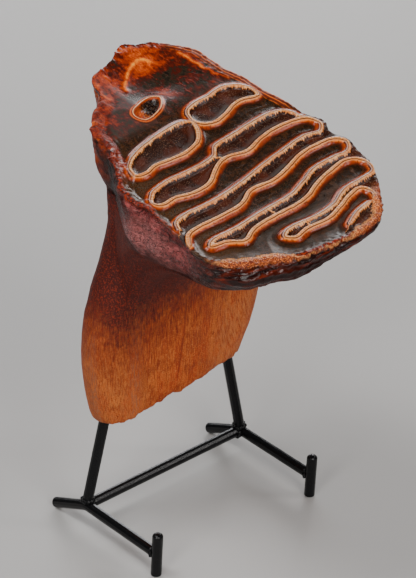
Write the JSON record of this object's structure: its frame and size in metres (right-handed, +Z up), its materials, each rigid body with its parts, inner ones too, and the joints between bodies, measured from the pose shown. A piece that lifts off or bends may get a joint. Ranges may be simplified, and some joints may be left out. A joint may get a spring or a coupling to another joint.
{
  "type": "fossil mammoth tooth on a display stand",
  "caption": "Worn mammoth molar with folded enamel ridges on a flared crown, its slab-shaped root held upright by the leaning posts of a black steel rod stand.",
  "frame": {"origin": "on the floor, under the middle of the whole object's bounding box", "axes": "+X along the stand's crossbar to the viewer's right, -Y to the front where the crown overhangs, +Z up"},
  "size_m": [0.108, 0.1452, 0.1943],
  "materials": {
    "fossil": "mineralised tooth: glossy varnished brown-black and amber crown with cream enamel ridges, satin orange root with fine lengthwise grain",
    "black_metal": "satin-gloss black paint on round steel rod, small fused weld beads at the joints"
  },
  "bodies": {
    "root": {"tooth": "fossil", "crossbar": "black_metal", "side_rail_left": "black_metal", "side_rail_right": "black_metal", "front_pin_left": "black_metal", "front_pin_right": "black_metal", "post_left": "black_metal", "post_right": "black_metal"}
  },
  "joints": []
}
